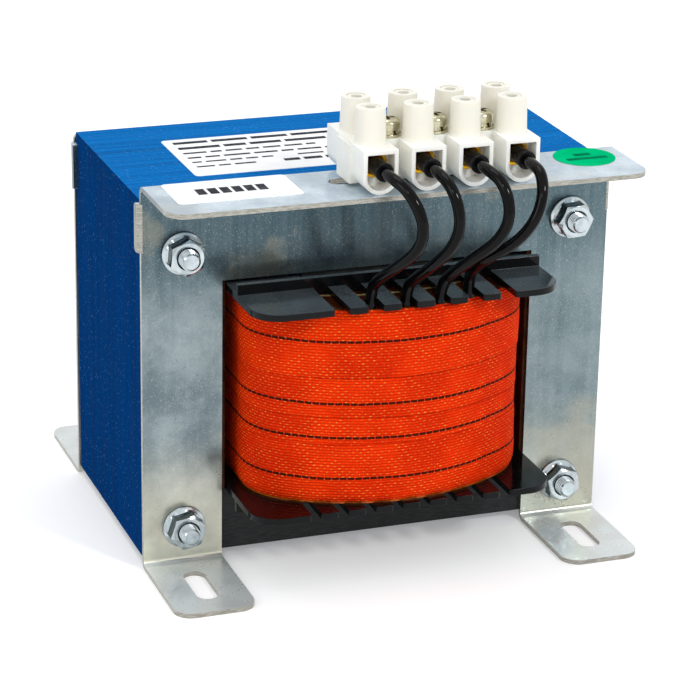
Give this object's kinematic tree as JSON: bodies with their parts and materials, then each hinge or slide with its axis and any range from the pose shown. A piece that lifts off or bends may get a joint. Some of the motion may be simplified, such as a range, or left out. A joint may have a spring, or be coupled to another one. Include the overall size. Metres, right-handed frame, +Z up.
{
  "type": "transformer",
  "caption": "Open-frame control transformer: a laminated core with a taped winding on a moulded former, folded frames with slotted feet, and a screw terminal block wired by short leads.",
  "frame": {"origin": "on the floor, under the middle of the core; measured without the leads", "axes": "+X across the core to the right as seen from the terminal side, +Y from the terminal side to the back, +Z up"},
  "size_m": [0.152, 0.1637, 0.1466],
  "materials": {
    "core_paint": "blue varnish over stacked silicon steel",
    "former_black": "moulded, glossy",
    "copper_wire": "enamelled copper",
    "insulation_film": "wrapped film",
    "orange_tape": "varnished woven tape",
    "brown_board": "pressed insulating board",
    "galvanised_sheet": "galvanised, satin",
    "zinc_steel": "bright zinc",
    "yellow_zinc_steel": "pale yellow zinc",
    "terminal_white": "moulded, satin",
    "brass": "turned",
    "black_sleeve": "smooth",
    "black_lead": "smooth insulation",
    "label_paper": "matt white",
    "green_sticker": "satin green"
  },
  "bodies": {
    "root": {"core_e_laminations": "core_paint", "core_i_laminations": "core_paint", "bobbin": "former_black", "primary_winding": "copper_wire", "winding_insulation": "insulation_film", "secondary_winding": "copper_wire", "outer_tape": "orange_tape", "window_board_left": "brown_board", "window_board_right": "brown_board", "front_frame": "galvanised_sheet", "rear_frame": "galvanised_sheet", "core_bolts": "zinc_steel", "bolt_sleeves": "insulation_film", "flange_nuts": "zinc_steel", "rear_washers": "zinc_steel", "terminal_body": "terminal_white", "terminal_inserts": "brass", "terminal_screws": "zinc_steel", "block_screws": "yellow_zinc_steel", "block_spring_washers": "yellow_zinc_steel", "block_flat_washers": "yellow_zinc_steel", "block_nuts": "zinc_steel", "lead_ferrules": "zinc_steel", "lead_boots": "black_sleeve", "lead_1": "black_lead", "lead_2": "black_lead", "lead_3": "black_lead", "lead_4": "black_lead", "core_label": "label_paper", "flange_label": "label_paper", "inspection_sticker": "green_sticker"}
  },
  "joints": []
}
